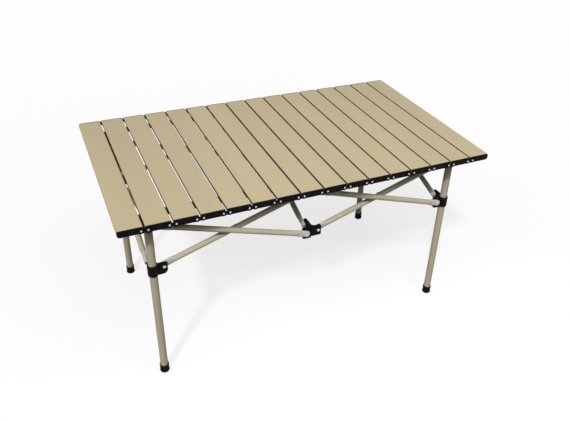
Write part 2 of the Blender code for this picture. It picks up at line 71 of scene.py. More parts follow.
# Top: slats of pressed sheet, a black cap in each end, a link plate over each gap, and two straps below
SLAT_COUNT = 16
TOP_LENGTH = CAD_BOX[1][0] - CAD_BOX[0][0]
TOP_HEIGHT = CAD_BOX[1][2]
SLAT_GAP = 0.0045
SLAT_PITCH = (TOP_LENGTH + SLAT_GAP) / SLAT_COUNT
SLAT_WIDTH = SLAT_PITCH - SLAT_GAP
SLAT_LENGTH = 0.546
SLAT_SHEET = 0.001
SLAT_SKIRT = 0.009
SLAT_LIP = 0.004
SLAT_EDGE = 0.002
SKIRT_CORNER = 0.0012
SHEET_END_GAP = 0.0001
SHEET_RIM = 0.0002
# Painted shade in the gaps: the depths below the top where it begins and where it is full
GAP_SHADE = (0.0008, 0.0022)
CAP_DEPTH = 0.0158
CAP_FLANGE = 0.0026
CAP_BODY = 0.005
CAP_PLUG = 0.014
CAP_CORNER = 0.0035
CAP_OUTER_CORNER = 0.0065
CAP_TOP_EASE = 0.0015
CAP_SIDE_GAP = 0.0001
CAP_FIT = 0.0002
CAP_STEP = 0.0004
CAP_STEP_EASE = 0.0003
CAP_ROOT = 0.0006
CAP_RIM = 0.0003
PLUG_SIDE_GAP = 0.0003
PLUG_BELOW = 0.001
PLUG_CORNER = 0.0009
STRAP_WIDTH = 0.030
STRAP_DEPTH = 0.0095
STRAP_THICKNESS = 0.0011
STRAP_LAP = 0.0015
STRAP_CLIP_GAP = 0.0005
STRAP_END_GAP = 0.0003
STRAP_CORNER = 0.0004
STRAP_RIM = 0.0002
LINK_DEPTH = 0.0085
LINK_PITCH = 0.015
LINK_LOBE = 0.0069
LINK_CORNER = 0.0066
LINK_NECK = 0.0042
LINK_NECK_CORNER = 0.003
LINK_THROAT = 0.0024
LINK_WAIST = 0.0052
LINK_WAIST_CORNER = 0.001
LINK_THICKNESS = 0.0016
LINK_STANDOFF = 0.0003
LINK_RIM = 0.0004
LINK_RIVET = 0.0023
LINK_RIVET_RISE = 0.0011

# Legs, feet and the plastic hubs
LEG_RADIUS = 0.0095
LEG_WALL = 0.001
LEG_RIM = 0.0003
LEG_PLAY = 0.0003
FOOT_RADIUS = 0.012
FOOT_HEIGHT = 0.024
FOOT_SOLE = 0.004
FOOT_TREAD = 0.007
FOOT_TREAD_CORNER = 0.0032
FOOT_WAIST = 0.0113
FOOT_WAIST_START = 0.009
FOOT_BEAD = 0.0117
FOOT_BEAD_HEIGHT = 0.0035
FOOT_BEAD_SLOPE = 0.0005
SEAT_DROP = 0.017
SLEEVE_RADIUS = 0.0125
SLEEVE_BORE = 0.0099
SLEEVE_ABOVE = 0.012
SLEEVE_BELOW = 0.017
HUB_BELOW = 0.008
HUB_ROOF = 0.003
HUB_RIM = 0.0008
POST_ARM_REACH = 0.0264
CENTRE_ARM_REACH = 0.0177
SIDE_ARM_REACH = 0.036
ARM_START = 0.002
ARM_ROOT = 0.0015
ARM_TIP = 0.008
ARM_THICKNESS = 0.006
ARM_ABOVE = 0.014
ARM_CORNER = 0.003
ARM_STEP = 0.001
ARM_RIM = 0.0007
SIDE_ARM_CORNER = 0.008
EAR_BELOW = 0.020
EAR_CORNER = 0.012
CENTRE_RADIUS = 0.0065
CENTRE_ABOVE = 0.015
CENTRE_BELOW = 0.012
CENTRE_ARM_BELOW = 0.0148
CENTRE_EAR_BELOW = 0.0185
CENTRE_EAR_CORNER = 0.006

# Bars with pressed ends, and the rivets they turn on
BAR_RADIUS = 0.007
BAR_WALL = 0.001
BAR_PRESSED = 0.004
BAR_TIP = 0.008
BAR_FLAT = 0.019
BAR_FLARE = 0.013
BAR_KNEE = 0.0085
BAR_TIP_SHARE = 0.25
BAR_RING_STEP = 0.002
BAR_SIDES = 40
BAR_OFFSET = 0.0074
RIVET_RADIUS = 0.0025
RIVET_HEAD = 0.0039
RIVET_RISE = 0.0014
RIVET_RIM = 0.0002
RIVET_BRIM = 0.35
RIVET_SUNK = 0.0004
CROSS_RIVET_INSIDE = 0.0004
PIVOT_GAP = 0.0004

# Camera, read from the photograph: angles in degrees, place in metres, lens in millimetres
CAMERA_PLACE = (-0.5787, -1.3561, 1.2357)
CAMERA_AZIMUTH = -26.02
CAMERA_ELEVATION = 32.46
CAMERA_ROLL = 2.42
CAMERA_LENS = 39.14
CAMERA_SHIFT = (-0.0361, -0.0187)

# Light: the main window's direction follows the shadows in the photograph. Widths are in degrees
WINDOW_PLACE = (-0.440, -0.518, 0.734)
WINDOW_STRENGTH = 1.6
WINDOW_WIDTH = 6.0
SIDE_PLACE = (-0.80, -0.10, 0.59)
SIDE_STRENGTH = 0.5
SIDE_WIDTH = 24.0
SOFT_PLACE = (0.1, -1.0, 1.9)
SOFT_POWER = 18.0
SOFT_SIZE = 1.4
SOFT_AIM = (0.0, -0.1, 0.45)
STUDIO_LIGHT = 0.15
FLOOR_COLOUR = (0.97, 0.97, 0.97)
FLOOR_BOUNCE = (0.15, 0.15, 0.15)
FLOOR_WHITE = 0.982
FLOOR_NEAR_WHITE = 1.07
FLOOR_GLOW = 0.70
FLOOR_FADE = (0.9, 2.0)
FLOOR_REACH = 12.0

# Colours: the shares of red, green and blue that a surface gives back. A pair is blended, first to second
SLAT_COLOUR = (0.505, 0.420, 0.262)
# Legs: the slats' khaki made greyer, a painted reflection of the white studio
LEG_COLOUR_WITH_PAINTED_REFLECTION = (0.535, 0.470, 0.335)
# Bars: the same khaki made paler again, a painted highlight
BAR_COLOUR_WITH_PAINTED_HIGHLIGHT = (0.600, 0.545, 0.390)
GRAIN_COLOUR = (0.74, 0.68, 0.55)
# Painted shade: the dark brown laid down the slats' skirts in the gaps
GAP_SHADE_COLOUR = (0.050, 0.040, 0.019)
PRESSED_COLOUR = (0.66, 0.64, 0.57)
PLASTIC_COLOURS = ((0.005, 0.0049, 0.0048), (0.010, 0.0098, 0.0096))
RUBBER_COLOURS = ((0.007, 0.007, 0.0072), (0.05, 0.048, 0.044))
WEBBING_COLOURS = ((0.006, 0.006, 0.006), (0.016, 0.016, 0.015))
STEEL_COLOURS = ((0.60, 0.60, 0.60), (0.45, 0.45, 0.44))

# Points closer than TINY are one point, WELD clears a moulding's slivers, and sharper edges aren't smoothed
TINY = 1e-6
WELD = 5e-6
SHARP_ANGLE = 35
CORNERS = {
    "front_left": (-1, -1),
    "front_right": (1, -1),
    "back_left": (-1, 1),
    "back_right": (1, 1),
}
LEG_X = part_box("leg_front_right")[0][0] + LEG_RADIUS
LEG_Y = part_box("leg_back_left")[0][1] + LEG_RADIUS
SEAT_HEIGHT = TOP_HEIGHT - SEAT_DROP
UPPER_PIVOT = PIVOT["frame_fold"][2]
LOWER_PIVOT = PIVOT["pivot_slider_front_left"][2]


class Wire:
    """A value in a material. Arithmetic on it adds Math nodes."""

    def __init__(self, finish, socket):
        self.finish = finish
        self.socket = socket

    def maths(self, operation, *values):
        return self.finish.node("ShaderNodeMath", {"operation": operation}, values)

    def __add__(self, other):
        return self.maths("ADD", self, other)

    def __radd__(self, other):
        return self.maths("ADD", other, self)

    def __sub__(self, other):
        return self.maths("SUBTRACT", self, other)

    def __rsub__(self, other):
        return self.maths("SUBTRACT", other, self)

    def __mul__(self, other):
        return self.maths("MULTIPLY", self, other)

    def __rmul__(self, other):
        return self.maths("MULTIPLY", other, self)


class Nodes:
    """The nodes of a material or of the studio round the table."""

    def __init__(self, tree):
        self.tree = tree

    def connect(self, target, value):
        """Link a wire to a socket, or write a plain value in it."""
        if isinstance(value, Wire):
            self.tree.links.new(value.socket, target)
        else:
            target.default_value = value

    def node(self, kind, settings=None, values=(), output=0):
        """Add a node: its settings first, then its sockets by place or by name."""
        node = self.tree.nodes.new(kind)
        for name, value in (settings or {}).items():
            setattr(node, name, value)
        pairs = values.items() if isinstance(values, dict) else enumerate(values)
        for socket, value in pairs:
            self.connect(node.inputs[socket], value)
        return Wire(self, node.outputs[output])

    def seen_white(self):
        """1 where the camera, a mirror or glass looks, and 0 for the light that a surface scatters."""
        camera = self.node("ShaderNodeLightPath", output="Is Camera Ray")
        mirror = self.node("ShaderNodeLightPath", output="Is Glossy Ray")
        glass = self.node("ShaderNodeLightPath", output="Is Transmission Ray")
        return camera.maths("MAXIMUM", camera.maths("MAXIMUM", camera, mirror), glass)


class Finish(Nodes):
    """A material built round one Principled shader."""

    def __init__(self, name, fixed):
        self.material = bpy.data.materials.new(name)
        self.material.use_nodes = True
        super().__init__(self.material.node_tree)
        self.shader = self.tree.nodes["Principled BSDF"]
        self.place = self.node("ShaderNodeTexCoord", output="Object")
        for socket, value in fixed.items():
            self.set(socket, value)

    def set(self, socket, value):
        """Feed one socket of the shader."""
        if isinstance(value, tuple) and len(value) == 3:
            value = (*value, 1.0)
        self.connect(self.shader.inputs[socket], value)

    def mark(self, name):
        """A share from 0 to 1 that a piece carries on its points."""
        return self.node("ShaderNodeAttribute", {"attribute_name": name}, output="Fac")

    def noise(self, scale, detail=2.0, stretch=(1.0, 1.0, 1.0)):
        """Smooth noise with so many waves to the metre, stretched along the axes."""
        place = self.node("ShaderNodeMapping", values={"Vector": self.place, "Scale": stretch})
        values = {"Vector": place, "Scale": scale, "Detail": detail}
        return self.node("ShaderNodeTexNoise", values=values)

    def blend(self, share, first, second):
        """Mix two colours by a share from 0 to 1."""
        colours = [(*colour, 1.0) if isinstance(colour, tuple) else colour for colour in (first, second)]
        values = {0: share, 6: colours[0], 7: colours[1]}
        return self.node("ShaderNodeMix", {"data_type": "RGBA"}, values, output=2)

    def span(self, value, low, high):
        """Where a value lies between low and high, from 0 to 1."""
        values = {"Value": value, "From Min": low, "From Max": high}
        return self.node("ShaderNodeMapRange", values=values)

    def bump(self, height, depth):
        """Raise the surface by a height from 0 to 1 times a depth in metres."""
        values = {"Height": height, "Distance": depth, "Strength": 1.0}
        self.set("Normal", self.node("ShaderNodeBump", values=values))


def satin_paint(name, colour, stretch):
    """Baked khaki coating: an even satin, faintly clouded, with a fine grain under the gloss."""
    finish = Finish(name, {"Specular IOR Level": 0.08})
    cloud = finish.span(finish.noise(9.0, 3.0, stretch), 0.3, 0.7)
    grain = finish.noise(1600.0, 2.0)
    deep = tuple(0.94 * channel for channel in colour)
    pale = tuple(1.05 * channel for channel in colour)
    tone = finish.blend(cloud, deep, pale)
    tone = finish.blend(finish.span(grain, 0.35, 0.75) * 0.12, tone, GRAIN_COLOUR)
    rough = 0.42 + 0.10 * cloud + 0.06 * grain
    finish.bump(grain, 0.00003)
    return finish, tone, rough


def slat_coating():
    """The slats' coating, a little different from slat to slat, with painted shade down the skirts that face
    the gaps between them.
    """
    finish, tone, rough = satin_paint("khaki_slat_coating", SLAT_COLOUR, (1.0, 0.12, 1.0))
    # Painted shade: the dust share darkens and roughens the skirts in the gaps, mottled a little
    dust = finish.mark("painted_shade") * (0.8 + 0.2 * finish.span(finish.noise(120.0, 4.0), 0.4, 0.6))
    finish.set("Base Color", finish.blend(dust, tone, GAP_SHADE_COLOUR))
    finish.set("Roughness", rough + 0.35 * dust)
    return finish.material


def frame_coating(name, colour):
    """The frame's coating: paler, greyer and a little glossier where a bar's end is pressed flat."""
    finish, tone, rough = satin_paint(name, colour, (1.0, 1.0, 1.0))
    pale_end = finish.mark("pressed") * (0.75 + 0.25 * finish.span(finish.noise(300.0, 4.0), 0.4, 0.6))
    finish.set("Base Color", finish.blend(pale_end, tone, PRESSED_COLOUR))
    finish.set("Roughness", rough - 0.08 * pale_end)
    return finish.material


def moulded_plastic():
    """Black moulded plastic: fine spark texture, a little greyer where it is rubbed."""
    finish = Finish("moulded_black_plastic", {"Specular IOR Level": 0.04})
    grain = finish.noise(1400.0, 3.0)
    patch = finish.span(finish.noise(45.0, 4.0), 0.35, 0.75)
    finish.set("Base Color", finish.blend(patch, *PLASTIC_COLOURS))
    finish.set("Roughness", 0.40 + 0.14 * patch + 0.08 * grain)
    finish.bump(grain, 0.00005)
    return finish.material


def foot_rubber():
    """Black rubber: matt, with a fine tooth and dust low down on the tread."""
    finish = Finish("foot_rubber", {"Specular IOR Level": 0.06})
    grain = finish.noise(900.0, 4.0)
    height = finish.node("ShaderNodeSeparateXYZ", values=(finish.place,), output="Z")
    dust = (1.0 - finish.span(height, 0.0, 0.006)) * finish.span(finish.noise(260.0, 4.0), 0.4, 0.7)
    finish.set("Base Color", finish.blend(dust * 0.6, *RUBBER_COLOURS))
    finish.set("Roughness", 0.62 + 0.25 * grain)
    finish.bump(grain, 0.0001)
    return finish.material


def strap_webbing():
    """Black woven tape: fine ribs across it, a little paler on their tops."""
    finish = Finish("strap_webbing", {"Roughness": 0.85, "Specular IOR Level": 0.05})
    ribs = finish.node("ShaderNodeTexWave", {"bands_direction": 'X'}, {
        "Vector": finish.place, "Scale": 260.0, "Distortion": 0.6, "Detail": 2.0, "Detail Scale": 3.0,
    }, output="Fac")
    finish.set("Base Color", finish.blend(ribs, *WEBBING_COLOURS))
    finish.bump(ribs, 0.0002)
    return finish.material


def rivet_steel():
    """Zinc-plated rivet steel: bright, with soft dull patches and fine scratches."""
    finish = Finish("rivet_steel", {"Metallic": 1.0})
    patch = finish.span(finish.noise(700.0, 3.0), 0.35, 0.7)
    scratch = finish.noise(2500.0, 2.0, (1.0, 0.15, 1.0))
    finish.set("Base Color", finish.blend(patch, *STEEL_COLOURS))
    finish.set("Roughness", 0.30 + 0.14 * patch + 0.08 * scratch)
    finish.bump(scratch, 0.00002)
    return finish.material


def unit(vectors):
    """Vectors scaled to a length of one."""
    return vectors / np.linalg.norm(vectors, axis=-1, keepdims=True)


def smooth_step(start, end, values):
    """0 before start, 1 after end, and 3 t^2 - 2 t^3 between them."""
    share = np.clip((values - start) / (end - start), 0.0, 1.0)
    return share * share * (3.0 - 2.0 * share)


def outline(corners, radii, steps=6, flank=0.0004):
    """Points and outward normals round a polygon with rounded corners, anticlockwise.

    An arc of radius r touches both sides of its corner at r tan(turn / 2) from it. Its normal turns evenly
    from the first side's to the second's, and the arc's centre lies r inside the first side, or outside
    where the polygon turns inwards. A point of each straight side lies just before and just after the arc.
    """
    corners = np.array(corners, float)
    radii = np.broadcast_to(np.array(radii, float), len(corners))[:, None]
    arriving = unit(corners - np.roll(corners, 1, axis=0))
    leaving = unit(np.roll(corners, -1, axis=0) - corners)
    cross = arriving[:, 0] * leaving[:, 1] - arriving[:, 1] * leaving[:, 0]
    turn = np.arctan2(cross, (arriving * leaving).sum(1))[:, None]
    side = np.stack([arriving[:, 1], -arriving[:, 0]], -1)
    sign = np.sign(turn)
    trim = radii * np.tan(np.abs(turn) / 2)
    centre = corners - arriving * trim - side * radii * sign
    first = np.arctan2(side[:, 1], side[:, 0])[:, None]
    angles = first + turn * np.linspace(0.0, 1.0, steps + 1)
    normals = np.stack([np.cos(angles), np.sin(angles)], -1)
    arcs = centre[:, None] + normals * (radii * sign)[:, None]
    before = arcs[:, :1] - arriving[:, None] * flank
    after = arcs[:, -1:] + leaving[:, None] * flank
    points = np.concatenate([before, arcs, after], 1).reshape(-1, 2)
    normals = np.concatenate([normals[:, :1], normals, normals[:, -1:]], 1).reshape(-1, 2)
    return points, normals


def quads(rows, columns, loop_rows, loop_columns):
    """Faces of a grid: each point joins the next row and column, and the last the first where it loops."""
    row = np.arange(rows if loop_rows else rows - 1)[:, None]
    column = np.arange(columns if loop_columns else columns - 1)[None, :]
    low = row * columns
    high = (row + 1) % rows * columns
    after = (column + 1) % columns
    corners = np.broadcast_arrays(low + column, low + after, high + after, high + column)
    return np.stack(corners, -1).reshape(-1, 4).tolist()


def carried(shape, low, high, rim, flank=0.0001):
    """An outline in X and Y carried along Z from low to high, with rounded rims.

    Each rim is a quarter circle: at angle a the outline is drawn in by rim (1 - sin a) and stands
    rim (1 - cos a) from the end. One ring further in keeps the flat end flat.
    """
    points, normals = shape
    quarter = np.linspace(0.0, math.pi / 2, 4)
    inset = np.concatenate([[rim + flank], rim * (1 - np.sin(quarter))])
    rise = np.concatenate([[0.0], rim * (1 - np.cos(quarter))])
    inset = np.concatenate([inset, [0.0, 0.0], inset[::-1]])
    height = np.concatenate([low + rise, [low + rim + flank, high - rim - flank], high - rise[::-1]])
    flat = points[None] - normals[None] * inset[:, None, None]
    grid = np.concatenate([flat, np.broadcast_to(height[:, None, None], (*flat.shape[:2], 1))], -1)
    count = len(points)
    ends = [list(range(count))[::-1], list(range(count * (len(height) - 1), count * len(height)))]
    return grid.reshape(-1, 3), quads(len(height), count, False, True) + ends


def turned(section, sides, closed=True):
    """A section of radius and height turned round Z: x = r cos a, y = r sin a."""
    angles = np.arange(sides) * math.tau / sides
    radius, height = np.array(section, float).T[:, :, None]
    grid = np.stack([radius * np.cos(angles), radius * np.sin(angles), height + 0.0 * angles], -1)
    return grid.reshape(-1, 3), quads(len(section), sides, closed, True)


def solid_section(points):
    """An outline of a solid, opened along the axis so that its first and last points lie on it."""
    off_axis = points[points[:, 0] > 2 * TINY]
    first = (0.0, off_axis[0, 1])
    last = (0.0, off_axis[-1, 1])
    return np.concatenate([[first], off_axis, [last]])


def moved(surface, columns, place=(0.0, 0.0, 0.0)):
    """A surface whose X, Y and Z run along three given directions, from a place."""
    points, faces = surface
    return points @ np.array(columns, float) + np.array(place, float), faces


def shifted(surface, *place):
    """A surface moved to a place without a turn."""
    return moved(surface, np.eye(3), place)


def standing(heading):
    """Directions of a plate stood on edge: its X along a heading in degrees, its Y up."""
    angle = math.radians(heading)
    ahead = (math.cos(angle), math.sin(angle), 0.0)
    return (ahead, (0.0, 0.0, 1.0), (math.sin(angle), -math.cos(angle), 0.0))


def make_object(name, surfaces):
    """An object from closed surfaces, its poles merged and its faces turned outwards."""
    points = []
    faces = []
    count = 0
    for some_points, some_faces in surfaces:
        points.append(some_points)
        faces += [[count + index for index in face] for face in some_faces]
        count += len(some_points)
    mesh = bpy.data.meshes.new(name)
    mesh.from_pydata(np.concatenate(points), [], faces)
    tidy = bmesh.new()
    tidy.from_mesh(mesh)
    bmesh.ops.remove_doubles(tidy, verts=tidy.verts, dist=TINY)
    bmesh.ops.recalc_face_normals(tidy, faces=tidy.faces)
    tidy.to_mesh(mesh)
    tidy.free()
    item = bpy.data.objects.new(name, mesh)
    bpy.context.scene.collection.objects.link(item)
    return item


def shade(item):
    """Smooth shading, broken where faces meet at more than the sharp angle in degrees."""
    item.data.shade_smooth()
    item.data.set_sharp_from_angle(angle=math.radians(SHARP_ANGLE))


def mark_points(item, name, shares):
    """Give each point of a piece a share from 0 to 1 for its finish to read."""
    layer = item.data.attributes.new(name, 'FLOAT', 'POINT')
    layer.data.foreach_set("value", np.asarray(shares, np.float32))


def dress(item, finish, body, node=None):
    """Give a piece its finish and its body, and let it stand for a node."""
    item.data.materials.clear()
    item.data.materials.append(finish)
    shade(item)
    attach(item, body)
    if node is not None:
        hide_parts(node)


def combine(body, tool, operation):
    """Join a tool to a body, or cut the body by it."""
    step = body.modifiers.new("combine", 'BOOLEAN')
    step.operation = operation
    step.solver = 'EXACT'
    step.object = tool
    bpy.context.view_layer.update()
    shown = body.evaluated_get(bpy.context.evaluated_depsgraph_get())
    mesh = bpy.data.meshes.new_from_object(shown)
    body.modifiers.clear()
    body.data = mesh
    bpy.data.objects.remove(tool, do_unlink=True)


SLAT_PAINT = slat_coating()
# The legs' coating is the slats' khaki greyed by a painted reflection
LEG_PAINT = frame_coating("khaki_leg_coating_painted_reflection", LEG_COLOUR_WITH_PAINTED_REFLECTION)
# The bars' coating is the frame's khaki made paler by a painted highlight
BAR_PAINT = frame_coating("khaki_bar_coating_painted_highlight", BAR_COLOUR_WITH_PAINTED_HIGHLIGHT)
PLASTIC = moulded_plastic()
RUBBER = foot_rubber()
STEEL = rivet_steel()
WEBBING = strap_webbing()

# A section's X across a slat and its Y up, carried along the slat to the back
ALONG_SLAT = ((1.0, 0.0, 0.0), (0.0, 0.0, 1.0), (0.0, 1.0, 0.0))
# A rivet's Z turned to a bar's Y, through its flat sides
THROUGH_BAR = ((0.0, 0.0, 1.0), (1.0, 0.0, 0.0), (0.0, 1.0, 0.0))


def slat_section():
    """The pressed sheet seen from its end: top, rounded edges, skirts and lips turned in."""
    outer = SLAT_WIDTH / 2
    inner = outer - SLAT_SHEET
    lip = outer - SLAT_LIP
    low = -SLAT_SKIRT
    left = [
        (-outer, 0.0), (-outer, low), (-lip, low), (-lip, low + SLAT_SHEET),
        (-inner, low + SLAT_SHEET), (-inner, -SLAT_SHEET),
    ]
    right = [(-x, y) for x, y in reversed(left)]
    small = SLAT_SHEET / 3
    radii = [SLAT_EDGE, SKIRT_CORNER, small, small, small, SLAT_EDGE - SLAT_SHEET]
    return outline(left + right, radii + radii[::-1], flank=0.0001)


def painted_gap_shade(points, number):
    """How much painted shade a point of a sheet takes in a gap: a smooth step down the skirts that face
    another slat.
    """
    facing = np.abs(points[:, 0]) > SLAT_WIDTH / 2 - SLAT_LIP - TINY
    if number == 1:
        facing &= points[:, 0] > 0
    if number == SLAT_COUNT:
        facing &= points[:, 0] < 0
    return facing * smooth_step(*GAP_SHADE, -points[:, 1])


def cap_shapes(number):
    """A slat's two end caps: a flange over the sheet's end, a body behind it and a plug in the channel.

    The first and the last slat have their outer corners rounded more.
    """
    left = CAP_OUTER_CORNER if number == 1 else CAP_CORNER
    right = CAP_OUTER_CORNER if number == SLAT_COUNT else CAP_CORNER
    half = SLAT_LENGTH / 2
    inside = SLAT_WIDTH / 2 - SLAT_SHEET - PLUG_SIDE_GAP
    ceiling = -SLAT_SHEET - CAP_FIT
    skirt = -SLAT_SKIRT - CAP_FIT
    wide = SLAT_WIDTH / 2 - CAP_SIDE_GAP
    base = -CAP_DEPTH + CAP_STEP
    flange = outline(
        [(-wide, 0.0), (-wide, -CAP_DEPTH), (wide, -CAP_DEPTH), (wide, 0.0)],
        [left - CAP_TOP_EASE, left, right, right - CAP_TOP_EASE],
    )
    body = outline(
        [(-wide, skirt), (-wide, base), (wide, base), (wide, skirt)],
        [CAP_ROOT, left - CAP_STEP_EASE, right - CAP_STEP_EASE, CAP_ROOT],
    )
    plug_base = skirt - PLUG_BELOW
    plug = outline(
        [(-inside, ceiling), (-inside, plug_base), (inside, plug_base), (inside, ceiling)], PLUG_CORNER
    )
    shapes = []
    for shape, start, depth in (
        (flange, 0.0, CAP_FLANGE),
        (body, CAP_FLANGE / 2, CAP_BODY),
        (plug, CAP_FLANGE / 2, CAP_PLUG),
    ):
        for end in (-1, 1):
            span = sorted((end * (half - start), end * (half - depth)))
            shapes.append(moved(carried(shape, *span, CAP_RIM), ALONG_SLAT))
    return shapes


def strap_shapes(x):
    """The stretch of two flat straps that one slat carries, from under its left neighbour's lip.

    A roll lifts that neighbour off the stretch. Next to the top clips, a strap starts or ends at the clip.
    """
    clip_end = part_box("top_clip_front_left")[1][0] + STRAP_CLIP_GAP
    left = max(x - SLAT_WIDTH / 2 - SLAT_GAP - STRAP_LAP, clip_end)
    right = min(x + SLAT_WIDTH / 2 - STRAP_LAP - STRAP_END_GAP, -clip_end)
    high = -STRAP_DEPTH
    low = high - STRAP_THICKNESS
    corners = [(left, low), (right, low), (right, high), (left, high)]
    shape = outline(corners, STRAP_CORNER, steps=3, flank=0.0001)
    tape = carried(shape, -STRAP_WIDTH / 2, STRAP_WIDTH / 2, STRAP_RIM)
    return [moved(tape, ALONG_SLAT, (0.0, side * LEG_Y, TOP_HEIGHT)) for side in (-1, 1)]


def link_shape():
    """A dog-bone link plate: two lobes round its rivets and a narrower waist, alike above and below."""
    end = LINK_PITCH / 2 + LINK_LOBE
    lower = np.array([
        (-end, -LINK_LOBE), (-LINK_NECK, -LINK_LOBE), (-LINK_THROAT, -LINK_WAIST),
        (LINK_THROAT, -LINK_WAIST), (LINK_NECK, -LINK_LOBE), (end, -LINK_LOBE),
    ])
    radii = [LINK_CORNER, LINK_NECK_CORNER, LINK_WAIST_CORNER]
    radii += radii[::-1]
    return outline(np.concatenate([lower, -lower]), radii * 2, flank=0.00008)


def rivet_head(radius, rise, sides=24):
    """A domed head on Z, sunk a little at its foot.

    A straight brim b, then a dome: z = b + (rise - b) cos t at r = radius sin t.
    """
    angles = np.linspace(math.pi / 2, 0.0, 7)
    brim = RIVET_BRIM * rise
    dome = [(radius * math.sin(t), brim + (rise - brim) * math.cos(t)) for t in angles]
    section = [(0.0, -RIVET_SUNK), (radius, -RIVET_SUNK)] + dome
    return turned(section, sides, closed=False)


def upright_to(surface, direction, place):
    """A shape whose Z is turned to a horizontal direction, moved to a place."""
    ahead = np.array(direction, float)
    up = np.array((0.0, 0.0, 1.0))
    return moved(surface, (np.cross(up, ahead), up, ahead), place)


def add_slat(number):
    """One slat: its sheet, its caps, its stretch of the straps, and the links and rivets on its right."""
    body = f"slat_{number:02d}"
    x = -TOP_LENGTH / 2 + (number - 1) * SLAT_PITCH + SLAT_WIDTH / 2
    half = SLAT_LENGTH / 2
    reach = half - CAP_FLANGE - SHEET_END_GAP
    section = carried(slat_section(), -reach, reach, SHEET_RIM)
    place = (x, 0.0, TOP_HEIGHT)
    item = make_object(f"{body}_sheet", [moved(section, ALONG_SLAT, place)])
    # Each point of the sheet carries its share of the painted shade in the gaps
    mark_points(item, "painted_shade", painted_gap_shade(section[0], number))
    dress(item, SLAT_PAINT, body, body)
    caps = [shifted(shape, *place) for shape in cap_shapes(number)]
    dress(make_object(f"{body}_end_caps", caps), PLASTIC, body)
    if 2 < number < SLAT_COUNT:
        strap = make_object(f"{body}_strap", strap_shapes(x))
        dress(strap, WEBBING, body)
    if number == SLAT_COUNT:
        return
    gap = x + SLAT_PITCH / 2
    level = TOP_HEIGHT - LINK_DEPTH
    plates = []
    heads = []
    for end in (-1, 1):
        inner = end * (half + LINK_STANDOFF)
        outer = end * (half + LINK_STANDOFF + LINK_THICKNESS)
        plate = carried(link_shape(), *sorted((inner, outer)), LINK_RIM)
        plates.append(moved(plate, ALONG_SLAT, (gap, 0.0, level)))
        for side in (-1, 1):
            spot = (gap + side * LINK_PITCH / 2, outer, level)
            heads.append(upright_to(rivet_head(LINK_RIVET, LINK_RIVET_RISE), (0, end, 0), spot))
    dress(make_object(f"{body}_links", plates), PLASTIC, body)
    dress(make_object(f"{body}_link_rivets", heads), STEEL, body)


def leg_tube():
    """A leg's wall, from the foot's sole to under the hub's roof."""
    low = FOOT_SOLE + LEG_PLAY
    high = SEAT_HEIGHT - HUB_ROOF - LEG_PLAY
    inner = LEG_RADIUS - LEG_WALL
    corners = [(inner, low), (LEG_RADIUS, low), (LEG_RADIUS, high), (inner, high)]
    wall = outline(corners, LEG_RIM, steps=3, flank=0.0002)[0]
    return turned(wall, 64)


def foot_cup():
    """A rubber foot: a rounded tread, a waisted wall with a bead at its mouth, and a bore for the leg.

    Each corner of its section has a radius from the axis, a height and a rounding.
    """
    bore = LEG_RADIUS + LEG_PLAY
    bead = FOOT_HEIGHT - FOOT_BEAD_HEIGHT
    corners = np.array([
        (0.0, 0.0, TINY),
        (FOOT_RADIUS, 0.0, FOOT_TREAD_CORNER),
        (FOOT_RADIUS, FOOT_TREAD, 0.0010),
        (FOOT_WAIST, FOOT_WAIST_START, 0.0007),
        (FOOT_WAIST, bead - FOOT_BEAD_SLOPE, 0.0004),
        (FOOT_BEAD, bead, 0.0004),
        (FOOT_BEAD, FOOT_HEIGHT, 0.0008),
        (bore, FOOT_HEIGHT, 0.0004),
        (bore, FOOT_SOLE, 0.0003),
        (0.0, FOOT_SOLE, TINY),
    ])
    section = outline(corners[:, :2], corners[:, 2], steps=4, flank=0.00008)[0]
    return turned(solid_section(section), 64, closed=False)


def arm_shape(reach, below, above, heading, low_corner=ARM_CORNER, top_corner=ARM_CORNER):
    """A hub's arm: an upright plate from near the middle of the hub to past its rivet.

    Every corner is rounded by more than the rims draw the outline in, so that the plate's ends don't cross
    themselves and the hub's Boolean steps work on sound solids.
    """
    tip = reach + ARM_TIP
    shape = outline(
        [(ARM_START, -below), (tip, -below), (tip, above), (ARM_START, above)],
        [ARM_ROOT, low_corner, top_corner, ARM_ROOT],
        steps=8,
    )
    half = ARM_THICKNESS / 2
    return moved(carried(shape, -half, half, ARM_RIM, flank=0.0003), standing(heading))


def weld(item):
    """Merge the slivers that Boolean steps leave, so that the surface stays closed when it is exported."""
    tidy = bmesh.new()
    tidy.from_mesh(item.data)
    bmesh.ops.remove_doubles(tidy, verts=tidy.verts, dist=WELD)
    bmesh.ops.dissolve_degenerate(tidy, edges=tidy.edges, dist=WELD)
    tidy.to_mesh(item.data)
    tidy.free()


def hub(name, core, arms, bore=None):
    """One moulding: a turned core, arms joined to it, and a bore cut in it."""
    item = make_object(name, [core])
    for arm in arms:
        combine(item, make_object("arm", [arm]), 'UNION')
    if bore is not None:
        combine(item, make_object("bore", [bore]), 'DIFFERENCE')
    weld(item)
    return item


def cylinder(radius, low, high, rim=HUB_RIM, sides=48):
    """A solid round core with rounded rims."""
    corners = [(0.0, low), (radius, low), (radius, high), (0.0, high)]
    section = outline(corners, [TINY, rim, rim, TINY], steps=5, flank=0.0002)[0]
    return turned(solid_section(section), sides, closed=False)


def move_mesh(item, place):
    """Put a place in a mesh, so that its object stays at the origin."""
    item.data.transform(Matrix.Translation(place))


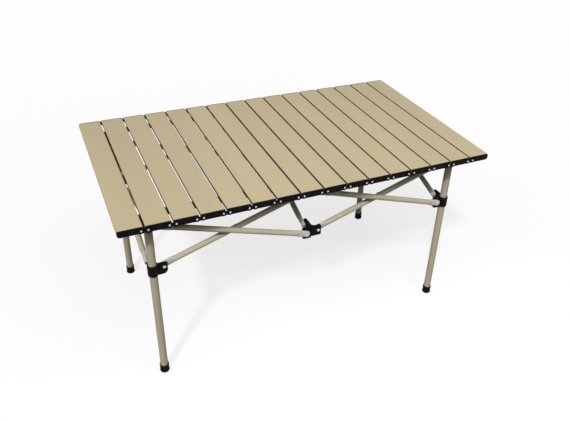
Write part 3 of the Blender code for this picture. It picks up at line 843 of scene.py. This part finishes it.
def add_slider(corner, side_x, side_y):
    """The sleeve that slides on a leg, with an ear along the table and one across it."""
    above = SLEEVE_ABOVE - ARM_STEP
    long_heading = 0 if side_x < 0 else 180
    arms = [
        arm_shape(POST_ARM_REACH, EAR_BELOW, above, long_heading, EAR_CORNER),
        arm_shape(SIDE_ARM_REACH, EAR_BELOW, above, -90 * side_y, EAR_CORNER, SIDE_ARM_CORNER),
    ]
    core = cylinder(SLEEVE_RADIUS, -SLEEVE_BELOW, SLEEVE_ABOVE)
    bore = cylinder(SLEEVE_BORE, -2 * SLEEVE_BELOW, 2 * SLEEVE_BELOW)
    name = f"slider_{corner}"
    item = hub(f"{name}_moulding", core, arms, bore)
    move_mesh(item, (side_x * LEG_X, side_y * LEG_Y, LOWER_PIVOT))
    dress(item, PLASTIC, name, name)


def add_corner_hub(corner, side_x, side_y):
    """The cap on a leg's top, closed above, with an arm along the table and one across it."""
    roof = SEAT_HEIGHT - UPPER_PIVOT
    below = HUB_BELOW - ARM_STEP
    long_heading = 0 if side_x < 0 else 180
    arms = [
        arm_shape(POST_ARM_REACH, below, ARM_ABOVE, long_heading),
        arm_shape(SIDE_ARM_REACH, below, ARM_ABOVE, -90 * side_y, top_corner=SIDE_ARM_CORNER),
    ]
    core = cylinder(SLEEVE_RADIUS, -HUB_BELOW, roof)
    bore = cylinder(SLEEVE_BORE, -2 * HUB_BELOW, roof - HUB_ROOF)
    item = hub(f"corner_hub_{corner}_moulding", core, arms, bore)
    move_mesh(item, (side_x * LEG_X, side_y * LEG_Y, UPPER_PIVOT))
    dress(item, PLASTIC, f"post_{corner}", f"corner_hub_{corner}")


def add_centre_hub(row, level, side_y):
    """A hub in the middle of a long side: two arms along the table and one across it."""
    upper = level == "upper"
    top = SEAT_HEIGHT - UPPER_PIVOT if upper else CENTRE_ABOVE
    bottom = HUB_BELOW if upper else CENTRE_BELOW
    below = HUB_BELOW - ARM_STEP if upper else CENTRE_ARM_BELOW
    ear_below = below if upper else CENTRE_EAR_BELOW
    ear_corner = ARM_CORNER if upper else CENTRE_EAR_CORNER
    right = 0 if side_y < 0 else 180
    arms = [
        arm_shape(CENTRE_ARM_REACH, below, ARM_ABOVE, right),
        arm_shape(CENTRE_ARM_REACH, ear_below, ARM_ABOVE, right + 180, ear_corner),
        arm_shape(SIDE_ARM_REACH, below, ARM_ABOVE, -90 * side_y, top_corner=SIDE_ARM_CORNER),
    ]
    core = cylinder(CENTRE_RADIUS, -bottom, top)
    name = f"centre_hub_{row}_{level}"
    item = hub(f"{name}_moulding", core, arms)
    move_mesh(item, (0.0, side_y * LEG_Y, UPPER_PIVOT if upper else LOWER_PIVOT))
    dress(item, PLASTIC, name, name)


def add_post(corner, side_x, side_y):
    """A leg and its foot."""
    place = (side_x * LEG_X, side_y * LEG_Y, 0.0)
    body = f"post_{corner}"
    leg = make_object(f"leg_{corner}_tube", [shifted(leg_tube(), *place)])
    dress(leg, LEG_PAINT, body, f"leg_{corner}")
    foot = make_object(f"foot_{corner}_cup", [shifted(foot_cup(), *place)])
    dress(foot, RUBBER, body, f"foot_{corner}")


def bar_rings(half_length, inset):
    """Rings of a bar along X, pressed flat towards Y near its ends.

    The half thickness runs from r to the pressed one by a smooth step, and the half width grows so that
    the girth stays: w = t + pi / 2 (r - t). Near the tip the width closes in along a quarter circle. A ring
    is a stadium: y = t cos a, z = t sin a plus or minus the straight w - t.
    """
    flat = half_length - BAR_FLAT
    tip = half_length + BAR_TIP
    knee = tip - BAR_KNEE
    bend = np.linspace(0.0, math.pi / 2, 10)
    half = np.concatenate([
        [0.0],
        np.linspace(flat - BAR_FLARE - BAR_RING_STEP, flat + BAR_RING_STEP, 12),
        [knee - BAR_RING_STEP],
        knee + BAR_KNEE * np.sin(bend),
    ])
    along = np.concatenate([-half[:0:-1], half])
    reach = np.abs(along)
    press = smooth_step(flat - BAR_FLARE, flat, reach)
    thick = BAR_RADIUS + (BAR_PRESSED - BAR_RADIUS) * press
    wide = thick + math.pi / 2 * (BAR_RADIUS - thick)
    closing = np.clip((reach - knee) / BAR_KNEE, 0.0, 1.0)
    narrowing = BAR_TIP_SHARE + (1.0 - BAR_TIP_SHARE) * np.sqrt(1.0 - closing ** 2)
    wide = thick + (wide - thick) * narrowing
    thick = thick - inset
    wide = wide - inset
    angles = (np.arange(BAR_SIDES) + 0.5) * math.tau / BAR_SIDES
    straight = (wide - thick)[:, None] * np.sign(np.sin(angles))
    y = thick[:, None] * np.cos(angles)
    z = thick[:, None] * np.sin(angles) + straight
    x = np.broadcast_to(along[:, None], y.shape)
    return np.stack([x, y, z], -1), press


def bar_tube(half_length):
    """A bar's wall: its outer rings from end to end, and its inner rings back again."""
    outer, press = bar_rings(half_length, 0.0)
    inner, _ = bar_rings(half_length, BAR_WALL)
    grid = np.concatenate([outer, inner[::-1]])
    marks = np.repeat(np.concatenate([press, press[::-1]]), BAR_SIDES)
    return (grid.reshape(-1, 3), quads(len(grid), BAR_SIDES, True, True)), marks


def bar_rivets(half_length, crosses):
    """The rivets that a bar carries: one through the hub at each end, and the crossing's if it has it."""
    plate_far = BAR_OFFSET + ARM_THICKNESS / 2 + PIVOT_GAP
    cross_far = 2 * BAR_OFFSET + BAR_RADIUS + PIVOT_GAP
    spots = [(-half_length, BAR_PRESSED, plate_far), (half_length, BAR_PRESSED, plate_far)]
    if crosses:
        spots.append((0.0, BAR_RADIUS - CROSS_RIVET_INSIDE, cross_far))
    head = rivet_head(RIVET_HEAD, RIVET_RISE, 32)
    shapes = []
    for along, near, far in spots:
        shank = cylinder(RIVET_RADIUS, -near, far, RIVET_RIM, 24)
        shapes.append(moved(shank, THROUGH_BAR, (along, 0.0, 0.0)))
        shapes.append(upright_to(head, (0, 1, 0), (along, far, 0.0)))
        if along != 0.0:
            shapes.append(upright_to(head, (0, -1, 0), (along, -near, 0.0)))
    return shapes


def add_bar_pair(name, first_pivot):
    """Two crossed bars. The falling one leaves the first pivot and carries the middle rivet."""
    start = PIVOT[first_pivot]
    centre = PIVOT[f"cross_{name}"]
    fall = centre - start
    half_length = float(np.linalg.norm(fall))
    level = unit(fall * (1.0, 1.0, 0.0))
    left = np.cross((0.0, 0.0, 1.0), level)
    for suffix, along, side in (
        ("falling", unit(fall), left),
        ("rising", unit(fall * (1.0, 1.0, -1.0)), -left),
    ):
        body = f"bar_{name}_{suffix}"
        directions = (along, side, np.cross(along, side))
        place = centre - side * BAR_OFFSET
        tube, marks = bar_tube(half_length)
        item = make_object(f"{body}_tube", [moved(tube, directions, place)])
        mark_points(item, "pressed", marks)
        dress(item, BAR_PAINT, body, body)
        rivets = bar_rivets(half_length, suffix == "falling")
        rivets = [moved(shape, directions, place) for shape in rivets]
        dress(make_object(f"{body}_rivets", rivets), STEEL, body)


def add_floor():
    """A pale floor that keeps the table's shadow, and fades to an even white away from it."""
    finish = Finish("pale_floor", {"Roughness": 0.9, "Specular IOR Level": 0.0})
    seen = finish.seen_white()
    finish.set("Base Color", finish.blend(seen, FLOOR_BOUNCE, FLOOR_COLOUR))
    away = finish.node("ShaderNodeVectorMath", {"operation": "LENGTH"}, (finish.place,), output="Value")
    far = finish.span(away, *FLOOR_FADE)
    share = FLOOR_GLOW + (1.0 - FLOOR_GLOW) * far
    white = FLOOR_NEAR_WHITE + (FLOOR_WHITE - FLOOR_NEAR_WHITE) * far
    glow = finish.node("ShaderNodeEmission", values={"Color": (1.0, 1.0, 1.0, 1.0), "Strength": white})
    lit = Wire(finish, finish.shader.outputs[0])
    mixed = finish.node("ShaderNodeMixShader", values=(seen * share, lit, glow))
    finish.tree.links.new(mixed.socket, finish.tree.nodes["Material Output"].inputs["Surface"])
    corners = FLOOR_REACH * np.array([(-1, -1, 0), (1, -1, 0), (1, 1, 0), (-1, 1, 0)])
    floor = make_object("studio_floor", [(corners, [[0, 1, 2, 3]])])
    floor.data.materials.append(finish.material)


def aimed(light, place, aim):
    """Hang a light at a place, turned to a point of the table."""
    lamp = bpy.data.objects.new(light.name, light)
    away = unit(np.array(place) - np.array(aim))
    right = unit(np.cross((0.0, 0.0, 1.0), away))
    turn = Matrix((right, np.cross(away, right), away)).transposed().to_4x4()
    lamp.matrix_world = Matrix.Translation(place) @ turn
    bpy.context.scene.collection.objects.link(lamp)


def add_lamps():
    """Two windows, one from the front left and a wider, weaker one from the left, and a soft light above."""
    for name, place, strength, width in (
        ("front_window", WINDOW_PLACE, WINDOW_STRENGTH, WINDOW_WIDTH),
        ("side_window", SIDE_PLACE, SIDE_STRENGTH, SIDE_WIDTH),
    ):
        window = bpy.data.lights.new(name, 'SUN')
        window.energy = strength
        window.angle = math.radians(width)
        aimed(window, place, (0.0, 0.0, 0.0))
    soft = bpy.data.lights.new("soft_front", 'AREA')
    soft.size = SOFT_SIZE
    soft.energy = SOFT_POWER
    aimed(soft, SOFT_PLACE, SOFT_AIM)


def add_world():
    """A white studio round the table, at one strength for light and one for what is seen."""
    world = bpy.data.worlds.new("studio")
    world.use_nodes = True
    room = Nodes(world.node_tree)
    background = world.node_tree.nodes["Background"]
    room.connect(background.inputs["Color"], (1.0, 1.0, 1.0, 1.0))
    strength = STUDIO_LIGHT + (1.0 - STUDIO_LIGHT) * room.seen_white()
    room.connect(background.inputs["Strength"], strength)
    bpy.context.scene.world = world


def add_camera():
    """The photograph's view: its axes follow from azimuth, elevation and roll."""
    azimuth = math.radians(CAMERA_AZIMUTH)
    elevation = math.radians(CAMERA_ELEVATION)
    roll = math.radians(CAMERA_ROLL)
    back = np.array([
        math.sin(azimuth) * math.cos(elevation),
        -math.cos(azimuth) * math.cos(elevation),
        math.sin(elevation),
    ])
    right = np.array([math.cos(azimuth), math.sin(azimuth), 0.0])
    up = np.cross(back, right)
    across = math.cos(roll) * right + math.sin(roll) * up
    upward = math.cos(roll) * up - math.sin(roll) * right
    data = bpy.data.cameras.new("photograph_view")
    data.lens = CAMERA_LENS
    data.shift_x, data.shift_y = CAMERA_SHIFT
    camera = bpy.data.objects.new("photograph_view", data)
    turn = Matrix((across, upward, back)).transposed().to_4x4()
    camera.matrix_world = Matrix.Translation(CAMERA_PLACE) @ turn
    bpy.context.scene.collection.objects.link(camera)
    bpy.context.scene.camera = camera


def add_table():
    """Every piece of the table."""
    for number in range(1, SLAT_COUNT + 1):
        add_slat(number)
    for corner, (side_x, side_y) in CORNERS.items():
        add_post(corner, side_x, side_y)
        add_slider(corner, side_x, side_y)
        add_corner_hub(corner, side_x, side_y)
        for spot in frame["nodes"][f"top_clip_{corner}"].material_slots:
            spot.material = PLASTIC
    for row, side_y in (("front", -1), ("back", 1)):
        for level in ("upper", "lower"):
            add_centre_hub(row, level, side_y)
    add_bar_pair("front_left", "frame_fold")
    for name in ("front_right", "back_left", "back_right", "left_side", "middle", "right_side"):
        add_bar_pair(name, f"pivot_{name}_falling")


add_table()
add_floor()
add_lamps()
add_world()
add_camera()
bpy.context.scene.view_settings.view_transform = 'Standard'
